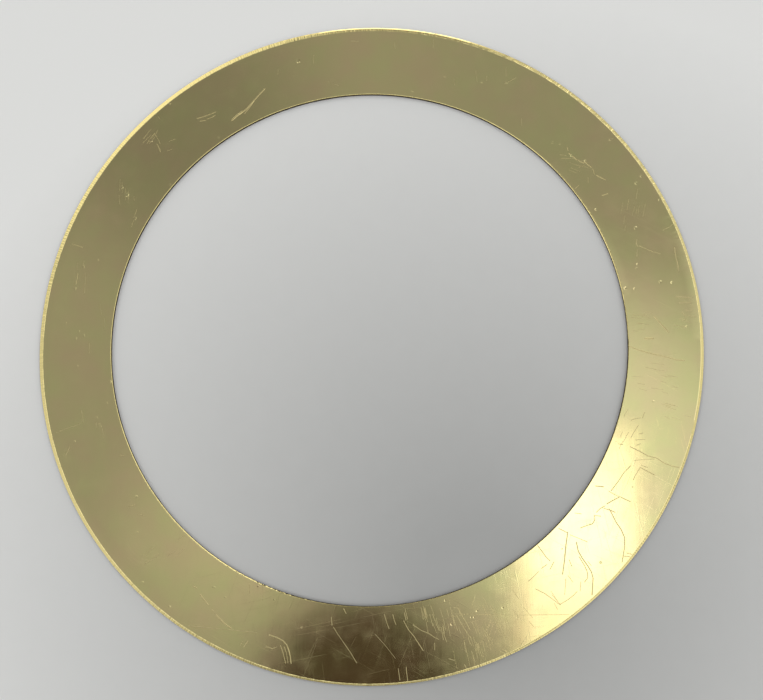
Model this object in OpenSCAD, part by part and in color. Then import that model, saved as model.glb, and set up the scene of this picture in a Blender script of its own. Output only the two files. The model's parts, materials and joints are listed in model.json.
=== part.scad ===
// Flat brass ring washer: one thin ring blanked from sheet.
// It lies on Z = 0 with its axis on +Z and its worked face up.

/* [Ring] */
// Diameter of the hole
bore_d = 70; // [10:1:88]
// Diameter over the outside
outside_d = 90; // [72:1:300]
// Thickness of the sheet
sheet_t = 0.5; // [0.35:0.05:5]

/* [Worked edges] */
// Width of the filed bevel round the outside of the upper face
rim_bevel_w = 0.45; // [0.05:0.05:5]
// Depth of that bevel down the outside wall
rim_bevel_drop = 0.22; // [0.05:0.01:0.4]
// Radius left by the punch where the upper face turns into the hole
bore_roll_r = 0.08; // [0.02:0.01:0.3]
// Corner broken off both edges of the underside
burr_break = 0.04; // [0.01:0.01:0.2]

/* [Hidden] */

bore_r = bore_d / 2;
outside_r = outside_d / 2;
// Distance by which a cutting shape runs past the sheet, so that no faces coincide
overrun = 0.1;
smooth_sides = 180;

// Cuts the rim's upper corner back to the filed bevel, drawn in the plane of the section.
// The bevel's line is carried on past both faces at its own slope.
module rim_bevel_cut() {
    slope = rim_bevel_drop / rim_bevel_w;
    polygon([
        [outside_r - rim_bevel_w - overrun, sheet_t + overrun * slope],
        [outside_r + overrun, sheet_t - rim_bevel_drop - overrun * slope],
        [outside_r + overrun, sheet_t + overrun * slope]
    ]);
}

// Rounds the hole's upper corner: the corner's square less a quarter circle.
module bore_roll_cut() {
    difference() {
        translate([bore_r - overrun, sheet_t - bore_roll_r])
            square([bore_roll_r + overrun, bore_roll_r + overrun]);
        translate([bore_r + bore_roll_r, sheet_t - bore_roll_r])
            circle(r = bore_roll_r, $fn = smooth_sides);
    }
}

// Breaks one corner of the underside at 45 degrees. side is 1 for the rim and -1 for the hole.
module burr_cut(corner_r, side) {
    polygon([
        [corner_r - side * (burr_break + overrun), -overrun],
        [corner_r + side * overrun, burr_break + overrun],
        [corner_r + side * overrun, -overrun]
    ]);
}

// Half section of the ring, with the radius along X and the axis along Y.
module ring_section() {
    difference() {
        translate([bore_r, 0]) square([outside_r - bore_r, sheet_t]);
        rim_bevel_cut();
        bore_roll_cut();
        burr_cut(outside_r, 1);
        burr_cut(bore_r, -1);
    }
}

module washer_ring() {
    color("darkkhaki") rotate_extrude($fn = smooth_sides) ring_section();
}

washer_ring();
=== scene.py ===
import json
import math
import random

import bmesh
import bpy
from mathutils import Matrix, Vector


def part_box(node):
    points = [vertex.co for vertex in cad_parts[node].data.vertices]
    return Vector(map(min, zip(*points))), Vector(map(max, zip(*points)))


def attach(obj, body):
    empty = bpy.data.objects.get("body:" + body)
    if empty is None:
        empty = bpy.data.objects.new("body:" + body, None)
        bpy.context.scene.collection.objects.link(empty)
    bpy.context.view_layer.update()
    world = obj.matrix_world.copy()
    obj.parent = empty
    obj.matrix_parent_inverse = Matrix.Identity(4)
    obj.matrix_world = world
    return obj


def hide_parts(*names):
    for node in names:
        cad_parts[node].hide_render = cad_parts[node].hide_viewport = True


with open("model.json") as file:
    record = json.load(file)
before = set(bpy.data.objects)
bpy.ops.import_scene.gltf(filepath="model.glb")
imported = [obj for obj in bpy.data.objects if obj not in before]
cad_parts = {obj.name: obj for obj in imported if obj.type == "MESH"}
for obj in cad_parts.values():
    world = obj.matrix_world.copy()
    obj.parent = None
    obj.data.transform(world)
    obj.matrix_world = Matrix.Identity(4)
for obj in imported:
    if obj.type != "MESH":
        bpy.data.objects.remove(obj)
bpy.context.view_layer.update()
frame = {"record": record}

# ---------------------------------------------------------------- the ring
# The washer is one ring of cold-rolled brass sheet, blanked in a press and then filed by
# hand round the outside of its upper face. Lengths in this section are in millimetres, and
# the finished mesh is brought to metres at the end.
MM = 0.001
mounts = {mount["name"]: mount for mount in frame["record"]["mounts"]}
bore_r = mounts["bore"]["dims"]["r_mm"]
rim_r = mounts["rim"]["dims"]["r_mm"]
sheet = (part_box("washer_ring")[1][2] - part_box("washer_ring")[0][2]) / MM

rng = random.Random(7)
turn_steps = 1440
burr_break = 0.04
bore_roll = 0.08
bevel_drop = 0.22
waist_drop = 0.12
lip_height = 0.012
lip_width = 0.08
face_z = sheet - lip_height
# The bevel runs into the face through an eased strip, a little lower than the face.
ease_width = 0.065
ease_drop = 0.015
# How far the file wandered off its line, across the bevel and up and down.
file_wander = 0.012
waist_wander = 0.006

# Width of the filed bevel by direction, in degrees counter-clockwise from +X: the file went
# over the left and top longest and hardly touched the front.
bevel_widths = [
    (0, 0.40), (15, 0.42), (45, 0.53), (75, 0.58), (90, 0.57), (105, 0.63), (135, 0.64), (165, 0.59),
    (180, 0.57), (210, 0.50), (240, 0.41), (270, 0.31), (300, 0.35), (330, 0.38), (360, 0.40),
]
# Share of that width which the bevel's steeper outer facet takes: least at the back.
facet_shares = [(0, 0.45), (60, 0.45), (75, 0.34), (95, 0.34), (110, 0.45), (360, 0.45)]
# Share of the full height of the burr that the file pushed up along the bevel's inner edge.
lip_shares = [
    (0, 0.3), (25, 0.8), (60, 1.0), (105, 1.0), (125, 0.4), (200, 0.3), (240, 0.0), (340, 0.0), (360, 0.3),
]
# Width of the hole's worn upper edge: a scraper has opened it out over one short stretch.
bore_edge_widths = [
    (0, 0.10), (8, 0.10), (12, 0.28), (25, 0.36), (38, 0.24), (48, 0.12), (90, 0.10), (190, 0.10),
    (215, 0.16), (245, 0.15), (265, 0.10), (360, 0.10),
]


def along(table, degrees):
    """Value of a round-the-ring table at that direction, eased between its entries."""
    degrees %= 360
    for (a, low), (b, high) in zip(table, table[1:]):
        if a <= degrees <= b:
            share = (degrees - a) / (b - a)
            return low + (high - low) * share * share * (3 - 2 * share)


def polar(radius, degrees, height=0.0):
    """Point at that radius and direction from the ring's axis."""
    turn = math.radians(degrees)
    return Vector((radius * math.cos(turn), radius * math.sin(turn), height))


# The section is drawn once as a closed outline and spun round the axis. The bevel is drawn at
# an even width first, and two plain loops on the flat keep its faces from running right across.
bevel_waist = rim_r - 0.18
bevel_ease = rim_r - 0.38
bevel_top = rim_r - 0.45
lip_foot = rim_r - 0.53
flat_loops = (rim_r - 1.6, bore_r + 1.2)
section = [
    (bore_r + burr_break, 0),
    (rim_r - burr_break, 0),
    (rim_r, burr_break),
    (rim_r, sheet - bevel_drop),
    (bevel_waist, sheet - waist_drop),
    (bevel_ease, face_z - ease_drop),
    (bevel_top, face_z),
    (lip_foot, face_z),
    (flat_loops[0], face_z),
    (flat_loops[1], face_z),
    (bore_r + bore_roll, face_z),
]
for turned_down in (25, 50, 75):
    sine = math.sin(math.radians(turned_down))
    cosine = math.cos(math.radians(turned_down))
    section.append((bore_r + bore_roll * (1 - sine), face_z - bore_roll * (1 - cosine)))
section += [(bore_r, face_z - bore_roll), (bore_r, burr_break)]

bm = bmesh.new()
corners = [bm.verts.new((radius, 0, height)) for radius, height in section]
outline = [bm.edges.new((a, b)) for a, b in zip(corners, corners[1:] + corners[:1])]
bmesh.ops.spin(
    bm, geom=outline, cent=(0, 0, 0), axis=(0, 0, 1), angle=math.tau, steps=turn_steps, use_merge=True,
)
same_point = 0.0005
bmesh.ops.remove_doubles(bm, verts=bm.verts, dist=same_point)

# The hand work: every tooth of the file leaves the bevel's edges a little uneven.
same_loop = 0.001
for vert in bm.verts:
    radius = math.hypot(vert.co.x, vert.co.y)
    degrees = math.degrees(math.atan2(vert.co.y, vert.co.x)) % 360
    height = vert.co.z
    width = along(bevel_widths, degrees)
    if abs(radius - bevel_waist) < same_loop:
        facet = along(facet_shares, degrees) * width
        radius = rim_r - facet + rng.uniform(-file_wander, file_wander)
        height += rng.uniform(-waist_wander, waist_wander)
    elif abs(radius - bevel_ease) < same_loop:
        radius = rim_r - width + ease_width + rng.uniform(-file_wander, file_wander)
        height += lip_height * along(lip_shares, degrees)
    elif abs(radius - bevel_top) < same_loop:
        radius = rim_r - width + rng.uniform(-file_wander, file_wander)
        height += lip_height * along(lip_shares, degrees)
    elif abs(radius - lip_foot) < same_loop:
        radius = rim_r - width - lip_width
    elif height > 2 * burr_break and bore_r - same_loop < radius < bore_r + bore_roll + same_loop:
        radius = bore_r + (radius - bore_r) * along(bore_edge_widths, degrees) / bore_roll
    else:
        continue
    vert.co = polar(radius, degrees, height)
bmesh.ops.recalc_face_normals(bm, faces=bm.faces)

# The ring's faces carry one of four finishes, in this order. A dent keeps the rolled one.
# A face's tilt is told by how far its normal points upward: 1 lies flat, 0 is an upright wall.
ROLLED, FILED, SHEARED, SCRATCHED, DENTED = range(5)
wall_below = 0.2
corner_below = 0.95
roll_below = 0.995
bevel_margin = 0.02
widest_bore_edge = 0.4
for face in bm.faces:
    middle = face.calc_center_median()
    radius = math.hypot(middle.x, middle.y)
    degrees = math.degrees(math.atan2(middle.y, middle.x)) % 360
    upward = face.normal.z
    if abs(upward) < wall_below or middle.z < burr_break:
        face.material_index = SHEARED if abs(upward) < corner_below else ROLLED
    elif radius > rim_r - along(bevel_widths, degrees) - bevel_margin:
        face.material_index = FILED
    elif radius < bore_r + widest_bore_edge and upward < roll_below:
        # On the front and right of the ring the dark torn finish comes higher up the hole's edge: partly torn
        # metal, partly painted shade for the shadow along that edge.
        torn_and_shade_below = 0.93 if degrees > rng.uniform(238, 265) else 0.6
        face.material_index = SHEARED if upward < torn_and_shade_below else FILED
    else:
        face.material_index = ROLLED

# Scratches from handling and sorting: half of the width, then the way that the grit went.
scratches = [
    # front right
    (0.10, [(26.3, -25.5), (26.0, -27.3), (25.8, -29.0), (25.5, -30.8)]),
    (0.05, [(25.9, -31.4), (25.7, -33.4)]),
    (0.07, [(25.2, -25.0), (26.2, -25.5)]),
    (0.05, [(26.6, -25.8), (27.6, -26.2), (28.8, -26.7)]),
    (0.10, [
        (27.4, -26.8), (27.6, -27.9), (28.1, -28.8), (28.8, -29.8), (29.2, -30.5), (29.4, -31.3),
        (29.2, -33.4),
    ]),
    (0.07, [(27.7, -28.6), (28.4, -29.8), (28.7, -30.6), (28.7, -31.3), (28.3, -31.8)]),
    (0.09, [(31.8, -22.5), (32.6, -24.2), (33.2, -25.1), (33.6, -26.1), (33.6, -27.2), (33.2, -29.2)]),
    (0.08, [(31.1, -22.4), (31.8, -22.6), (32.5, -22.9)]),
    (0.08, [(30.6, -23.4), (29.8, -23.3), (29.8, -24.0), (29.5, -24.4), (28.8, -24.6), (28.0, -24.9)]),
    (0.07, [(30.1, -22.9), (30.6, -22.4), (31.2, -22.1)]),
    (0.06, [(27.3, -23.0), (28.1, -23.1)]),
    (0.07, [(22.4, -27.2), (22.9, -27.9), (23.4, -28.6), (23.9, -29.1)]),
    (0.06, [(24.4, -29.3), (23.9, -30.2)]),
    (0.06, [(23.5, -29.6), (22.8, -30.1)]),
    (0.06, [(22.4, -30.5), (21.7, -31.2), (21.1, -31.7)]),
    (0.06, [(22.0, -32.7), (23.2, -33.3), (24.3, -34.1), (25.1, -34.7)]),
    (0.06, [(25.1, -34.6), (26.0, -34.1), (26.8, -33.5), (27.3, -33.0)]),
    (0.04, [(11.5, -35.9), (19.0, -36.0), (26.2, -35.9)]),
    (0.06, [(26.4, -29.0), (26.7, -29.8)]),
    (0.05, [(26.2, -31.0), (26.8, -31.8)]),
    (0.05, [(27.8, -31.8), (27.7, -32.9)]),
    (0.06, [(33.8, -28.1), (34.6, -28.3)]),
    (0.06, [(33.5, -28.5), (34.3, -28.6)]),
    (0.06, [(33.6, -29.5), (34.2, -29.2)]),
    (0.06, [(28.8, -29.2), (29.2, -29.7)]),
    (0.09, [(31.5, -21.8), (32.2, -21.4), (33.2, -20.9), (33.8, -21.2), (34.5, -21.5)]),
    (0.06, [(31.8, -20.2), (32.5, -20.6), (33.1, -20.9)]),
    (0.09, [(30.1, -19.5), (31.1, -19.6)]),
    (0.08, [(34.7, -16.9), (33.8, -17.8), (33.2, -18.7), (32.1, -20.1)]),
    (0.07, [(35.9, -17.2), (35.3, -18.1), (35.0, -18.7)]),
    (0.09, [(36.0, -17.1), (36.9, -17.6), (37.8, -18.1)]),
    (0.06, [(36.1, -16.8), (36.9, -17.1)]),
    (0.09, [
        (34.8, -14.4), (36.0, -15.0), (37.0, -15.6), (38.2, -15.9), (39.0, -16.5), (40.0, -16.9),
        (41.0, -17.1),
    ]),
    (0.05, [(35.2, -16.2), (36.0, -16.1), (37.8, -16.0)]),
    (0.06, [(35.0, -10.9), (35.6, -10.7), (36.2, -10.6)]),
    (0.06, [(36.8, -9.9), (36.5, -10.6)]),
    (0.06, [(35.9, -11.6), (35.3, -12.5), (34.9, -13.2)]),
    (0.06, [(36.0, -12.7), (36.5, -12.6)]),
    (0.06, [(35.5, -13.5), (36.7, -13.4)]),
    (0.07, [(35.6, -14.2), (36.1, -14.0)]),
    (0.06, [(33.2, -14.0), (33.8, -14.1)]),
    # right
    (0.10, [(35.1, -1.0), (36.2, -1.5), (38.2, -2.1), (40.0, -2.5), (41.3, -2.9), (42.3, -3.0)]),
    (0.15, [(37.3, 0.0), (37.8, 0.0), (38.3, 0.0)]),
    (0.11, [(38.6, 3.0), (39.2, 2.2), (39.9, 1.4), (40.4, 0.8)]),
    (0.08, [(41.7, 12.4), (41.8, 11.2), (42.0, 10.2), (42.1, 9.2)]),
    (0.07, [(36.7, 13.6), (36.6, 13.0), (36.8, 12.6)]),
    (0.05, [(36.7, 12.2), (36.6, 11.2)]),
    (0.06, [(37.0, 12.7), (37.8, 12.3), (38.7, 11.9), (39.7, 11.6)]),
    (0.07, [(41.6, 5.7), (42.6, 5.6), (43.6, 5.5)]),
    (0.07, [(42.0, 4.8), (43.5, 4.8)]),
    (0.05, [(37.0, 3.0), (37.5, 3.2), (37.9, 2.7)]),
    (0.05, [(42.3, 3.6), (42.8, 2.8), (42.3, 2.3)]),
    (0.09, [(32.2, 19.8), (33.0, 20.1)]),
    (0.05, [(40.3, 14.9), (41.0, 15.2), (41.5, 15.6)]),
    # back right
    (0.08, [(27.7, 26.8), (27.8, 26.3)]),
    (0.12, [(27.9, 25.9), (28.4, 25.5), (28.9, 25.0)]),
    (0.10, [(29.0, 25.0), (29.4, 24.7), (29.9, 24.5), (30.1, 24.8)]),
    (0.11, [(30.1, 24.6), (30.5, 24.2), (30.9, 23.9)]),
    (0.08, [(31.1, 23.6), (31.3, 22.9)]),
    (0.11, [(31.6, 22.7), (32.1, 22.4), (32.7, 22.1)]),
    (0.05, [(26.7, 25.2), (28.5, 25.2)]),
    (0.05, [(26.7, 25.7), (27.5, 25.6)]),
    (0.05, [(30.0, 24.2), (29.2, 23.9)]),
    (0.06, [(30.4, 22.4), (30.4, 21.7)]),
    (0.08, [(28.6, 20.9), (29.1, 21.3)]),
    (0.06, [(33.4, 27.6), (33.9, 27.9)]),
    (0.04, [(21.5, 31.0), (21.5, 30.0)]),
    (0.06, [(19.3, 36.2), (19.9, 36.5), (20.8, 37.0)]),
    (0.05, [(12.2, 37.0), (12.3, 36.1)]),
    (0.04, [(19.5, 38.4), (19.5, 37.3)]),
    (0.05, [(-2.2, 43.0), (-1.2, 42.9)]),
    (0.04, [(-7.6, 41.0), (-7.6, 39.8)]),
    (0.04, [(-5.5, 37.0), (-4.0, 36.4)]),
    # back left
    (0.20, [(-19.0, 31.6), (-18.4, 32.2), (-17.6, 32.8)]),
    (0.13, [(-18.0, 32.4), (-17.0, 33.2), (-16.1, 34.3), (-15.4, 35.1), (-14.5, 36.1)]),
    (0.09, [(-17.3, 32.5), (-16.6, 33.4), (-16.0, 34.3)]),
    (0.09, [(-24.0, 31.9), (-23.0, 32.2), (-22.2, 32.5), (-21.4, 32.8)]),
    (0.09, [(-23.6, 31.5), (-22.8, 31.6)]),
    (0.08, [(-22.6, 31.8), (-22.0, 32.0), (-21.5, 32.3)]),
    (0.07, [(-31.0, 28.4), (-30.6, 29.1), (-30.0, 29.8)]),
    (0.05, [(-30.7, 28.3), (-30.4, 28.8), (-30.0, 29.2)]),
    (0.06, [(-29.9, 29.6), (-29.4, 28.8), (-29.2, 28.3)]),
    (0.08, [(-29.6, 28.2), (-29.3, 27.6), (-29.1, 27.1)]),
    (0.05, [(-27.9, 28.6), (-27.1, 28.9)]),
    (0.05, [(-28.1, 27.2), (-27.5, 27.4)]),
    (0.05, [(-29.6, 32.3), (-29.3, 31.9)]),
    # left
    (0.045, [(-42.0, -12.3), (-40.8, -11.8), (-38.9, -11.2)]),
    (0.07, [(-33.1, -15.4), (-32.7, -15.4)]),
    (0.05, [(-40.1, -14.2), (-40.6, -15.4)]),
    (0.06, [(-31.7, -22.2), (-30.9, -22.0)]),
    (0.07, [(-30.3, -23.3), (-29.8, -23.3)]),
    (0.08, [(-40.1, 9.6), (-40.3, 8.2)]),
    (0.07, [(-41.1, 13.9), (-40.4, 13.7), (-39.6, 13.4)]),
    (0.07, [(-32.2, 18.7), (-32.5, 17.5), (-32.8, 16.3)]),
    # front left
    (0.09, [(-22.8, -32.5), (-22.3, -32.8)]),
    (0.10, [(-21.8, -33.6), (-20.7, -34.9)]),
    (0.07, [(-20.2, -35.5), (-19.9, -35.8)]),
    (0.10, [(-19.6, -36.2), (-18.5, -37.3), (-17.6, -37.9)]),
    (0.04, [(-23.3, -37.6), (-20.0, -37.9), (-16.0, -38.2), (-14.3, -38.4)]),
    (0.06, [(-15.9, -40.2), (-15.4, -39.5)]),
    (0.05, [(-16.3, -40.0), (-16.1, -39.6)]),
    (0.06, [(-15.3, -32.1), (-15.3, -33.4)]),
    (0.06, [(-13.6, -32.2), (-13.6, -34.1)]),
    # front
    (0.09, [
        (-12.6, -38.7), (-11.6, -39.0), (-10.8, -39.4), (-10.3, -39.9), (-10.0, -40.6), (-9.8, -41.4),
        (-9.7, -42.2),
    ]),
    (0.06, [(-11.1, -40.0), (-10.8, -40.8), (-10.6, -41.5), (-10.4, -42.2)]),
    (0.05, [(-10.6, -40.2), (-10.3, -41.0), (-10.1, -42.2)]),
    (0.06, [(-13.0, -40.2), (-12.1, -40.4), (-11.6, -40.2)]),
    (0.045, [(-4.2, -37.7), (-3.6, -38.6), (-2.8, -39.7), (-2.0, -40.8), (-1.2, -42.1)]),
    (0.05, [(-4.5, -36.4), (-4.4, -37.4)]),
    (0.05, [(2.4, -36.0), (2.7, -37.0), (3.0, -37.8)]),
    (0.05, [(3.5, -36.0), (3.7, -36.8), (3.9, -37.3)]),
    (0.06, [(-2.9, -35.3), (-2.6, -35.9)]),
    (0.06, [(11.9, -35.1), (12.4, -36.0), (13.0, -37.0), (13.5, -37.9)]),
    (0.06, [(11.8, -36.1), (12.4, -37.2), (13.1, -38.3), (13.6, -38.9)]),
    (0.055, [(4.9, -36.8), (5.5, -37.9), (6.2, -38.7), (6.8, -39.6), (7.4, -40.5)]),
    (0.05, [(6.1, -37.3), (7.2, -38.0), (8.2, -38.4), (8.8, -38.8), (9.4, -39.1)]),
    (0.05, [(5.0, -35.8), (5.2, -36.7)]),
    (0.05, [(11.4, -35.1), (11.8, -35.1)]),
    (0.05, [(9.3, -37.5), (9.5, -38.0)]),
    (0.05, [(10.7, -41.5), (11.4, -41.7)]),
    (0.05, [(16.1, -34.8), (16.4, -35.4), (16.7, -35.9)]),
    (0.05, [(12.7, -42.2), (13.0, -42.8)]),
    (0.05, [(4.2, -42.8), (4.4, -44.2)]),
    (0.05, [(5.2, -42.6), (5.4, -44.3)]),
    (0.05, [(8.9, -39.6), (8.9, -40.4)]),
    (0.03, [(1.2, -38.5), (2.6, -40.0), (3.8, -41.5)]),
]
# Areas rubbed with fine parallel strokes: middle, reach to each side, direction in degrees
# and number of strokes.
rubs = [
    ((14.6, -39.6), (1.8, 2.4), 107, 26),
    ((16.8, -36.4), (1.6, 2.0), 110, 16),
    ((10.8, -37.4), (1.6, 2.2), 104, 14),
    ((8.8, -36.5), (1.0, 1.5), 106, 9),
    ((6.8, -35.6), (1.8, 0.6), 105, 9),
    ((36.8, 2.2), (1.3, 1.3), 178, 10),
    ((42.6, 2.4), (0.8, 1.6), 170, 7),
    ((29.4, 24.0), (1.2, 0.9), 160, 6),
    ((-30.4, 29.0), (0.9, 1.0), 50, 7),
    ((-33.6, 21.3), (1.2, 1.6), 95, 7),
    ((-40.0, 9.4), (1.2, 2.0), 85, 4),
    ((8.0, 40.5), (9.0, 2.2), 90, 2),
    ((16.0, 38.0), (5.5, 2.5), 90, 3),
    ((-10.5, 40.2), (5.0, 2.0), 90, 1),
    ((33.5, -12.0), (1.0, 2.2), 60, 7),
    ((38.2, -5.2), (2.6, 2.0), 172, 10),
    ((40.5, -8.5), (2.0, 2.5), 160, 9),
    ((36.9, 17.0), (2.8, 3.5), 80, 10),
    ((22.0, -35.0), (3.0, 2.2), 125, 9),
    ((-27.0, -28.0), (3.0, 3.0), 40, 8),
    ((-36.5, -12.0), (2.5, 4.0), 100, 3),
    ((-38.5, 3.0), (2.8, 4.5), 95, 3),
]
# Small dents: x, y and radius. The deep ones glint; a few are on the rim and the hole's edge.
deep_dents = [
    (41.1, 7.6, 0.22), (36.6, 10.2, 0.18), (36.1, 6.8, 0.18), (42.8, 1.6, 0.16), (31.3, 17.9, 0.20),
    (28.2, 25.6, 0.16), (30.1, 24.8, 0.18), (30.4, -29.3, 0.22), (44.9, -13.4, 0.34), (34.9, 6.9, 0.26),
    (-34.9, -5.4, 0.18),
]
faint_dents = [
    (25.5, -27.6, 0.16), (34.9, -19.6, 0.16), (38.0, -8.4, 0.16), (39.6, 7.7, 0.26), (36.5, 9.6, 0.20),
    (36.6, 15.2, 0.28), (36.9, 21.5, 0.28), (37.6, 22.5, 0.2), (25.7, 27.5, 0.22), (26.7, 27.3, 0.18),
    (39.9, 19.1, 0.2), (16.1, 36.5, 0.2), (10.9, 37.5, 0.22), (19.6, 36.4, 0.22), (6.4, 35.4, 0.26),
    (33.6, 27.8, 0.2), (-9.8, 40.2, 0.4), (-20.9, 29.1, 0.2), (-27.6, 22.3, 0.2), (-30.5, 28.8, 0.32),
    (-28.0, 34.2, 0.2), (-33.6, 20.9, 0.4), (-34.4, 22.0, 0.3), (-32.4, 17.5, 0.3), (-39.4, 10.7, 0.22),
    (-40.4, 7.6, 0.24), (-37.4, 11.6, 0.2), (-40.0, 0.6, 0.22), (-39.6, 1.6, 0.2), (-38.9, 1.0, 0.2),
    (-39.6, -3.2, 0.18), (-41.5, 2.8, 0.18), (-35.3, -8.3, 0.2), (-36.6, -10.3, 0.2), (-36.2, -11.2, 0.18),
    (-36.0, -11.5, 0.16), (-39.5, -13.5, 0.2), (-30.8, -20.9, 0.3), (-30.5, -25.6, 0.2), (-29.5, -32.1, 0.2),
    (-25.8, -35.2, 0.2), (-20.0, -32.7, 0.2), (-18.5, -34.0, 0.2), (-14.1, -32.6, 0.28), (-12.0, -34.3, 0.2),
    (-8.4, -37.7, 0.18), (10.3, -34.2, 0.2), (13.6, -36.3, 0.16), (14.0, -36.3, 0.16), (11.1, -37.2, 0.2),
    (14.4, -35.5, 0.18), (17.7, -35.1, 0.18),
]
deep_share = 0.14
faint_share = 0.055
dents = [(*dent, deep_share) for dent in deep_dents] + [(*dent, faint_share) for dent in faint_dents]
clear_of_rim = 0.8
for (x, y), (reach_x, reach_y), degrees, strokes in rubs:
    for _ in range(strokes):
        middle = Vector((x + rng.uniform(-reach_x, reach_x), y + rng.uniform(-reach_y, reach_y)))
        run = polar(rng.uniform(0.3, 0.9), degrees + rng.uniform(-7, 7)).xy
        ends = [middle - run, middle + run]
        if all(bore_r + widest_bore_edge < end.length < rim_r - clear_of_rim for end in ends):
            scratches.append((rng.uniform(0.03, 0.045), [tuple(end) for end in ends]))

# Each scratch is cut by a flat eight-sided bar that dips into the face between its raised ends.
# A furrow's listed width takes in the rough metal beside it, and the cut is cut_share of that.
bar_corners = 8
cut_share = 0.7
steepest_cut = 0.2
depth_per_width = 1.6
tools = bmesh.new()
for furrow, way in scratches:
    half_width = cut_share * furrow
    run_out = 2 * half_width
    way = [Vector((x, y)) for x, y in way]
    first = way[0] - (way[1] - way[0]).normalized() * run_out
    last = way[-1] + (way[-1] - way[-2]).normalized() * run_out
    way = [first] + way + [last]
    placed = []
    for step, point in enumerate(way):
        heading = (way[min(step + 1, len(way) - 1)] - way[max(step - 1, 0)]).normalized()
        at_end = step in (0, len(way) - 1)
        across = half_width * (0.5 if at_end else rng.uniform(1.0625, 1.4375))
        deep = min(steepest_cut, depth_per_width * half_width) * across
        rise = 1.2 * deep if at_end else 0.5 * deep
        side = Vector((-heading.y, heading.x))
        placed.append(Matrix((
            (side.x * across, 0, heading.x * across, point.x),
            (side.y * across, 0, heading.y * across, point.y),
            (0, deep, 0, face_z + rise),
            (0, 0, 0, 1),
        )))
    start = bmesh.ops.create_circle(tools, cap_ends=True, segments=bar_corners, radius=1, matrix=placed[0])
    cap = start["verts"][0].link_faces[0]
    for here, onward in zip(placed, placed[1:]):
        grown = bmesh.ops.extrude_face_region(tools, geom=[cap])["geom"]
        if here is not placed[0]:
            bmesh.ops.delete(tools, geom=[cap], context="FACES_ONLY")
        cap = next(item for item in grown if isinstance(item, bmesh.types.BMFace))
        bmesh.ops.transform(tools, matrix=onward @ here.inverted(), verts=cap.verts)
for face in tools.faces:
    face.material_index = SCRATCHED
# Each dent is pressed by a flattened ball, sunk deeper where it nicks the rim or the hole's edge.
near_hole = 0.2
near_rim = 0.6
for x, y, size, depth_share in dents:
    at_edge = not bore_r + near_hole < math.hypot(x, y) < rim_r - near_rim
    height_share = 0.7 if at_edge else depth_share
    lifted = 0.0 if at_edge else 0.5 * depth_share * size
    flatten = Matrix.Diagonal((1, rng.uniform(0.7, 1.3), height_share, 1))
    turned = Matrix.Rotation(rng.uniform(0, math.pi), 4, "Z")
    place = Matrix.Translation((x, y, face_z + lifted))
    ball = bmesh.ops.create_icosphere(tools, subdivisions=2, radius=size, matrix=place @ turned @ flatten)
    for face in {face for vert in ball["verts"] for face in vert.link_faces}:
        face.material_index = DENTED
bmesh.ops.recalc_face_normals(tools, faces=tools.faces)


def linked_mesh(name, shape):
    """An object in the scene that holds the bmesh's shape."""
    mesh = bpy.data.meshes.new(name)
    shape.to_mesh(mesh)
    shape.free()
    made = bpy.data.objects.new(name, mesh)
    bpy.context.scene.collection.objects.link(made)
    return made


finishes = [
    bpy.data.materials.new(name)
    for name in ("brass_rolled_satin", "brass_filed", "brass_sheared", "brass_scratched")
]
ring = linked_mesh("washer_ring_worked", bm)
scratchers = linked_mesh("scratchers", tools)
for worked in (ring, scratchers):
    for finish in finishes + [finishes[ROLLED]]:
        worked.data.materials.append(finish)
cut = ring.modifiers.new("scratches", "BOOLEAN")
cut.operation = "DIFFERENCE"
cut.solver = "EXACT"
cut.use_self = True
cut.object = scratchers
scratched = bpy.data.meshes.new_from_object(ring.evaluated_get(bpy.context.evaluated_depsgraph_get()))
ring.modifiers.clear()
ring.data = scratched
bpy.data.objects.remove(scratchers)

# Flats stay flat: an edge is crisp where the surface turns, except inside a scratch.
crisp_turn = math.radians(6)
speck = 0.0002
bm = bmesh.new()
bm.from_mesh(scratched)
bmesh.ops.remove_doubles(bm, verts=bm.verts, dist=speck)
bmesh.ops.dissolve_degenerate(bm, edges=bm.edges, dist=speck)
for face in bm.faces:
    face.smooth = True
for edge in bm.edges:
    sides = [face.material_index in (SCRATCHED, DENTED) for face in edge.link_faces]
    edge.smooth = all(sides) or (not any(sides) and edge.calc_face_angle(0) < crisp_turn)
bm.transform(Matrix.Scale(MM, 4))
bm.to_mesh(scratched)
bm.free()


def linear(hex_colour):
    """RGBA in linear light of an sRGB hex colour."""
    channels = [int(hex_colour[i : i + 2], 16) / 255 for i in (1, 3, 5)]
    return [c / 12.92 if c <= 0.04045 else ((c + 0.055) / 1.055) ** 2.4 for c in channels] + [1.0]


def node(tree, kind, settings=None, inputs=None):
    """A new node in the tree, with its properties, and its inputs as values or outputs to link from."""
    new = tree.nodes.new(kind)
    for name, value in (settings or {}).items():
        setattr(new, name, value)
    for socket, value in (inputs or {}).items():
        if isinstance(value, bpy.types.NodeSocket):
            tree.links.new(value, new.inputs[socket])
        else:
            new.inputs[socket].default_value = value
    return new


rolled, filed, sheared, fresh = finishes
for finish in finishes:
    finish.use_nodes = True

# Cartridge brass, cold-rolled: a satin mirror with fine lines along the way that the sheet
# ran through the rolls, hairlines from handling, and a faint film of finger grease.
tree = rolled.node_tree
surface = tree.nodes["Principled BSDF"]
surface.inputs["Metallic"].default_value = 1.0
place = node(tree, "ShaderNodeTexCoord").outputs["Object"]
mm_place = node(
    tree, "ShaderNodeMapping", {}, {"Vector": place, "Scale": (1 / MM, 1 / MM, 1 / MM)},
).outputs["Vector"]

# The tone drifts by a shade over patches of about 5 mm, as brass does where it has been touched.
drift = node(tree, "ShaderNodeTexNoise", {}, {"Vector": mm_place, "Scale": 0.2, "Detail": 3.0}).outputs["Fac"]
tone = node(tree, "ShaderNodeValToRGB", {}, {"Fac": drift})
tone.color_ramp.elements[0].position = 0.3
tone.color_ramp.elements[0].color = linear("#f3dfa8")
tone.color_ramp.elements[1].position = 0.7
tone.color_ramp.elements[1].color = linear("#eee6a4")

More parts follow.
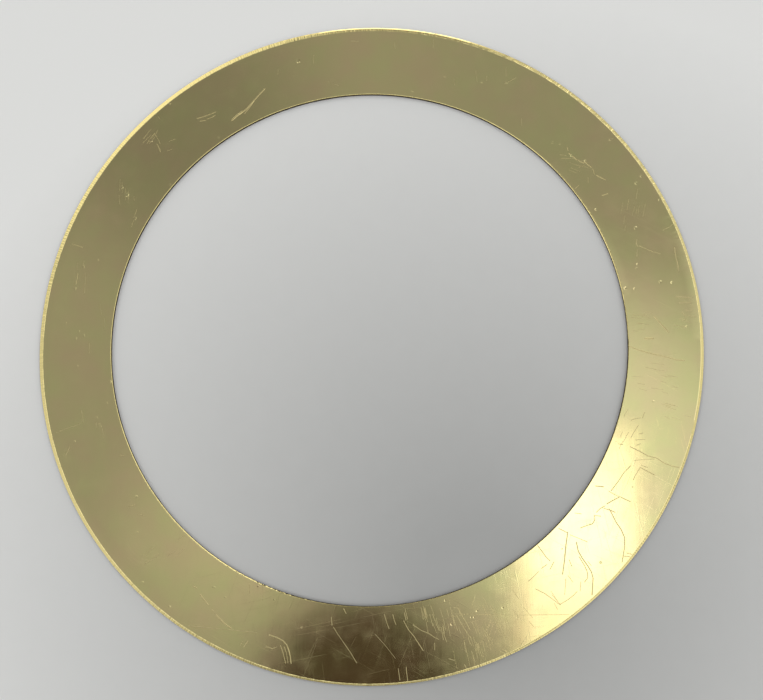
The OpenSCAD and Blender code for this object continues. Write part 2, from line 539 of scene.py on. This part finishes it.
# Roll lines: about 0.3 mm apart and 8 mm long, along Y.
roll_place = node(
    tree, "ShaderNodeMapping", {}, {"Vector": mm_place, "Scale": (3.2, 0.12, 1)},
).outputs["Vector"]
roll_lines = node(
    tree, "ShaderNodeTexNoise", {}, {"Vector": roll_place, "Scale": 1.0, "Detail": 3.0},
).outputs["Fac"]

# Hairlines: the edge of a stretched noise, in four directions, each kept to its own patches.
# Real ones are near 0.02 mm wide; these are 0.05 mm, the finest that shows.
height = node(tree, "ShaderNodeMath", {"operation": "MULTIPLY"}, {0: roll_lines, 1: 0.0006}).outputs["Value"]
for degrees, offset in ((12, 3.0), (68, 11.0), (101, 23.0), (152, 37.0)):
    turned = node(tree, "ShaderNodeMapping", {"vector_type": "TEXTURE"}, {
        "Vector": mm_place,
        "Location": (offset, offset, 0),
        "Rotation": (0, 0, math.radians(degrees)),
        "Scale": (20, 0.9, 1),
    }).outputs["Vector"]
    wander = node(
        tree, "ShaderNodeTexNoise", {}, {"Vector": turned, "Scale": 1.0, "Detail": 1.0},
    ).outputs["Fac"]
    off_line = node(tree, "ShaderNodeMath", {"operation": "SUBTRACT"}, {0: wander, 1: 0.5}).outputs["Value"]
    off_line = node(tree, "ShaderNodeMath", {"operation": "ABSOLUTE"}, {0: off_line}).outputs["Value"]
    line = node(
        tree, "ShaderNodeMapRange", {"interpolation_type": "SMOOTHSTEP"},
        {"Value": off_line, "From Min": 0.0, "From Max": 0.010, "To Min": 1.0, "To Max": 0.0},
    ).outputs["Result"]
    there = node(
        tree, "ShaderNodeTexNoise", {}, {"Vector": turned, "Scale": 3.1, "Detail": 0.0},
    ).outputs["Fac"]
    there = node(
        tree, "ShaderNodeMapRange", {"interpolation_type": "SMOOTHSTEP"},
        {"Value": there, "From Min": 0.55, "From Max": 0.68, "To Min": 0.0, "To Max": 0.0007},
    ).outputs["Result"]
    height = node(
        tree, "ShaderNodeMath", {"operation": "MULTIPLY_ADD"}, {0: line, 1: there, 2: height},
    ).outputs["Value"]

# Slight waves across the sheet, about 5 mm from crest to crest, bend the edges of what it reflects.
waves = node(
    tree, "ShaderNodeTexNoise", {}, {"Vector": mm_place, "Scale": 0.22, "Detail": 2.0},
).outputs["Fac"]
height = node(
    tree, "ShaderNodeMath", {"operation": "MULTIPLY_ADD"}, {0: waves, 1: 0.006, 2: height},
).outputs["Value"]

# A fingerprint on the front left, its ridges 0.46 mm apart, and smears of the same grease.
print_place = node(
    tree, "ShaderNodeMapping", {}, {"Vector": mm_place, "Location": (28.7, 26.2, 0)},
).outputs["Vector"]
ridges = node(
    tree, "ShaderNodeTexWave", {"wave_type": "RINGS", "rings_direction": "Z"},
    {"Vector": print_place, "Scale": 0.68, "Distortion": 3.5, "Detail": 1.0, "Detail Scale": 0.35},
).outputs["Fac"]
reach = node(tree, "ShaderNodeVectorMath", {"operation": "LENGTH"}, {0: print_place}).outputs["Value"]
pressed = node(
    tree, "ShaderNodeMapRange", {"interpolation_type": "SMOOTHSTEP"},
    {"Value": reach, "From Min": 3.0, "From Max": 6.5, "To Min": 0.06, "To Max": 0.0},
).outputs["Result"]
grease = node(tree, "ShaderNodeMath", {"operation": "MULTIPLY"}, {0: ridges, 1: pressed}).outputs["Value"]
smear = node(
    tree, "ShaderNodeTexNoise", {}, {"Vector": mm_place, "Scale": 0.35, "Detail": 4.0, "Roughness": 0.65},
).outputs["Fac"]
smear = node(
    tree, "ShaderNodeMapRange", {},
    {"Value": smear, "From Min": 0.45, "From Max": 0.75, "To Min": 0.07, "To Max": 0.12},
).outputs["Result"]
rubbed = node(
    tree, "ShaderNodeMath", {"operation": "MULTIPLY_ADD"}, {0: roll_lines, 1: 0.03, 2: smear},
).outputs["Value"]
rough = node(tree, "ShaderNodeMath", {"operation": "ADD"}, {0: grease, 1: rubbed}).outputs["Value"]

relief = node(
    tree, "ShaderNodeBump", {}, {"Height": height, "Distance": 0.001, "Strength": 1.0},
).outputs["Normal"]
tree.links.new(tone.outputs["Color"], surface.inputs["Base Color"])
tree.links.new(rough, surface.inputs["Roughness"])
tree.links.new(relief, surface.inputs["Normal"])

# The same brass where a file has cut it: cleaner and yellower, with a tooth mark every
# quarter of a millimetre across the bevel.
tree = filed.node_tree
surface = tree.nodes["Principled BSDF"]
surface.inputs["Base Color"].default_value = linear("#f6e6a2")
surface.inputs["Metallic"].default_value = 1.0
surface.inputs["Roughness"].default_value = 0.18
place = node(tree, "ShaderNodeTexCoord").outputs["Object"]
apart = node(tree, "ShaderNodeSeparateXYZ", {}, {"Vector": place})
turn = node(
    tree, "ShaderNodeMath", {"operation": "ARCTAN2"}, {0: apart.outputs["Y"], 1: apart.outputs["X"]},
).outputs["Value"]
teeth_place = node(tree, "ShaderNodeMath", {"operation": "MULTIPLY"}, {0: turn, 1: rim_r}).outputs["Value"]
teeth = node(
    tree, "ShaderNodeTexNoise", {"noise_dimensions": "1D"}, {"W": teeth_place, "Scale": 4.0, "Detail": 2.0},
).outputs["Fac"]
relief = node(
    tree, "ShaderNodeBump", {}, {"Height": teeth, "Distance": 0.00005, "Strength": 1.0},
).outputs["Normal"]
tree.links.new(relief, surface.inputs["Normal"])

# The same brass where the press sheared it: torn and dull. Its dark colour is partly tarnish and partly
# painted shade, for the shadow along the walls and the hole's edge.
tree = sheared.node_tree
surface = tree.nodes["Principled BSDF"]
surface.inputs["Metallic"].default_value = 1.0
surface.inputs["Roughness"].default_value = 0.5
place = node(tree, "ShaderNodeTexCoord").outputs["Object"]
torn_place = node(
    tree, "ShaderNodeMapping", {}, {"Vector": place, "Scale": (6000, 6000, 900)},
).outputs["Vector"]
torn = node(
    tree, "ShaderNodeTexNoise", {}, {"Vector": torn_place, "Scale": 1.0, "Detail": 3.0},
).outputs["Fac"]
# Dark tarnish with painted shade in it, from darker to lighter brown.
tarnish_and_shade = node(tree, "ShaderNodeValToRGB", {}, {"Fac": torn})
tarnish_and_shade.color_ramp.elements[0].position = 0.35
tarnish_and_shade.color_ramp.elements[0].color = linear("#3d3423")
tarnish_and_shade.color_ramp.elements[1].position = 0.7
tarnish_and_shade.color_ramp.elements[1].color = linear("#5e5038")
relief = node(
    tree, "ShaderNodeBump", {}, {"Height": torn, "Distance": 0.00002, "Strength": 0.6},
).outputs["Normal"]
tree.links.new(tarnish_and_shade.outputs["Color"], surface.inputs["Base Color"])
tree.links.new(relief, surface.inputs["Normal"])

# The same brass inside a scratch: ploughed up bright, with a fine ragged grain.
tree = fresh.node_tree
surface = tree.nodes["Principled BSDF"]
surface.inputs["Base Color"].default_value = linear("#d4c48d")
surface.inputs["Metallic"].default_value = 1.0
surface.inputs["Roughness"].default_value = 0.28
place = node(tree, "ShaderNodeTexCoord").outputs["Object"]
grain = node(tree, "ShaderNodeTexNoise", {}, {"Vector": place, "Scale": 9000.0, "Detail": 1.0}).outputs["Fac"]
relief = node(
    tree, "ShaderNodeBump", {}, {"Height": grain, "Distance": 0.00001, "Strength": 0.5},
).outputs["Normal"]
tree.links.new(relief, surface.inputs["Normal"])

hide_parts("washer_ring")
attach(ring, "root")

# --------------------------------------------------------------- the paper
# The ring lies on a large matt white backdrop card with a very slight grain. Painted shadow greys the card,
# deepest in front of the ring and fading out all round, standing in for the shade of someone leaning over it.
card_half = 3.0
air_under_ring = 0.02 * MM
bm = bmesh.new()
bmesh.ops.create_grid(bm, x_segments=2, y_segments=2, size=card_half)
bmesh.ops.translate(bm, verts=bm.verts, vec=(0, 0, -air_under_ring))
paper = linked_mesh("paper", bm)
matt = bpy.data.materials.new("paper_matt")
matt.use_nodes = True
tree = matt.node_tree
surface = tree.nodes["Principled BSDF"]
surface.inputs["Roughness"].default_value = 0.9
surface.inputs["Specular IOR Level"].default_value = 0.2
place = node(tree, "ShaderNodeTexCoord").outputs["Object"]
# Fibres clump about every 3 mm. The painted shadow fades out between 8 and 85 mm from its middle.
fibres = node(
    tree, "ShaderNodeTexNoise", {}, {"Vector": place, "Scale": 350.0, "Detail": 4.0, "Roughness": 0.6},
).outputs["Fac"]
away = node(
    tree, "ShaderNodeVectorMath", {"operation": "DISTANCE"}, {0: place, 1: (0.015, -0.033, 0)},
).outputs["Value"]
shadow_and_fibres = node(
    tree, "ShaderNodeMapRange", {}, {"Value": away, "From Min": 0.008, "From Max": 0.085},
).outputs["Result"]
shadow_and_fibres = node(
    tree, "ShaderNodeMath", {"operation": "MULTIPLY_ADD"}, {0: fibres, 1: 0.05, 2: shadow_and_fibres},
).outputs["Value"]
# Painted shadow: light grey at its middle, near white where it fades out.
painted_shadow = node(tree, "ShaderNodeValToRGB", {}, {"Fac": shadow_and_fibres})
painted_shadow.color_ramp.elements[0].position = 0.025
painted_shadow.color_ramp.elements[0].color = linear("#acadad")
painted_shadow.color_ramp.elements[1].position = 1.0
painted_shadow.color_ramp.elements[1].color = linear("#eeefef")
tree.links.new(painted_shadow.outputs["Color"], surface.inputs["Base Color"])
paper.data.materials.append(matt)

# --------------------------------------------------------------- the light
# A plain pale room under one soft lamp, nearly overhead on the right. The brass is a mirror,
# so the room has what it mirrors: walls, a bright band half-way up, and a grey ceiling.
scene = bpy.context.scene
scene.view_settings.view_transform = "Standard"
room = bpy.data.worlds.new("room")
scene.world = room
room.use_nodes = True
tree = room.node_tree
background = tree.nodes["Background"]
facing = node(tree, "ShaderNodeTexCoord").outputs["Generated"]


def patch(under, slope_x, slope_y, inner, outer, colour):
    """Blends a soft round patch into the room, towards that slope along X and Y."""
    towards = Vector((slope_x, slope_y, 1)).normalized()
    gap = node(
        tree, "ShaderNodeVectorMath", {"operation": "DISTANCE"}, {0: facing, 1: towards},
    ).outputs["Value"]
    share = node(
        tree, "ShaderNodeMapRange", {"interpolation_type": "SMOOTHSTEP"},
        {"Value": gap, "From Min": inner, "From Max": outer, "To Min": 1.0, "To Max": 0.0},
    ).outputs["Result"]
    mix = node(tree, "ShaderNodeMix", {"data_type": "RGBA"}, {"Factor": share, "B": (*colour, 1)})
    if isinstance(under, bpy.types.NodeSocket):
        tree.links.new(under, mix.inputs["A"])
    else:
        mix.inputs["A"].default_value = (*under, 1)
    return mix.outputs["Result"]


walls = (0.42, 0.42, 0.41)
ceiling = (0.33, 0.33, 0.325)
# The bright wall at the back, only low down, with the plain walls above it.
sky = patch(walls, 0.3, 6.5, 0.45, 0.8, (2.3, 2.2, 1.95))
sky = patch(sky, 0.0, 0.0, 1.15, 1.30, walls)
# A dark strip over that wall, and what stands along the left.
sky = patch(sky, 0.1, 1.95, 0.08, 0.20, (0.15, 0.15, 0.14))
sky = patch(sky, -2.8, 3.3, 0.3, 0.6, (1.10, 1.07, 0.96))
sky = patch(sky, -5.0, -1.5, 0.35, 0.8, (0.74, 0.73, 0.70))
# What stands along the right.
sky = patch(sky, 2.4, 0.6, 0.3, 0.6, (0.76, 0.76, 0.74))
sky = patch(sky, 1.3, -1.5, 0.35, 0.6, (0.95, 0.94, 0.9))
# The bright band half-way up, with a gap in it at the front.
sky = patch(sky, 0.0, 0.0, 0.80, 0.92, (1.2, 1.2, 1.19))
sky = patch(sky, -0.1, -1.7, 0.28, 0.55, (0.24, 0.23, 0.22))
# The grey ceiling, with its duller and paler parts.
sky = patch(sky, -0.06, 0.16, 0.37, 0.50, ceiling)
sky = patch(sky, -0.26, 0.39, 0.04, 0.20, (0.225, 0.225, 0.22))
sky = patch(sky, 0.15, 0.42, 0.05, 0.20, (0.30, 0.305, 0.30))
sky = patch(sky, -0.19, -0.03, 0.02, 0.16, (0.50, 0.50, 0.48))
# The glow on the ceiling round the lamp.
sky = patch(sky, 0.16, 0.035, 0.075, 0.23, (0.74, 0.78, 0.78))
sky = patch(sky, 0.145, -0.03, 0.02, 0.075, (1.0, 1.1, 1.35))
# Someone dark leaning in from the front.
sky = patch(sky, -0.064, -0.202, 0.07, 0.130, (0.06, 0.042, 0.032))
tree.links.new(sky, background.inputs["Color"])


def soft_light(name, place, size_x, size_y, radiance, colour):
    """A rectangular soft light that faces straight down."""
    data = bpy.data.lights.new(name, "AREA")
    data.shape = "RECTANGLE"
    data.size = size_x
    data.size_y = size_y
    data.energy = radiance * math.pi * size_x * size_y
    data.color = colour
    light = bpy.data.objects.new(name, data)
    scene.collection.objects.link(light)
    light.visible_camera = False
    light.location = place


# The lamp is cool in its middle, with a warm border from the shade just above it.
soft_light("lamp", (0.252, -0.101, 1.5), 0.178, 0.37, 0.71, (0.92, 1.0, 1.0))
soft_light("lamp_surround", (0.254, -0.101, 1.52), 0.206, 0.39, 0.32, (1.0, 0.66, 0.40))

# -------------------------------------------------------------- the camera
# Held by hand over the ring, a little to the front and right of its axis, and turned so that
# it looks at the ring's middle.
lens = bpy.data.cameras.new("camera")
lens.sensor_width = 36
lens.lens = 46.57
lens.clip_start = 0.01
lens.clip_end = 20
camera = bpy.data.objects.new("camera", lens)
scene.collection.objects.link(camera)
camera.location = (8.144 * MM, -20.783 * MM, 132.13 * MM)
camera.rotation_euler = (math.radians(8.4066), math.radians(2.6609), 0)
scene.camera = camera
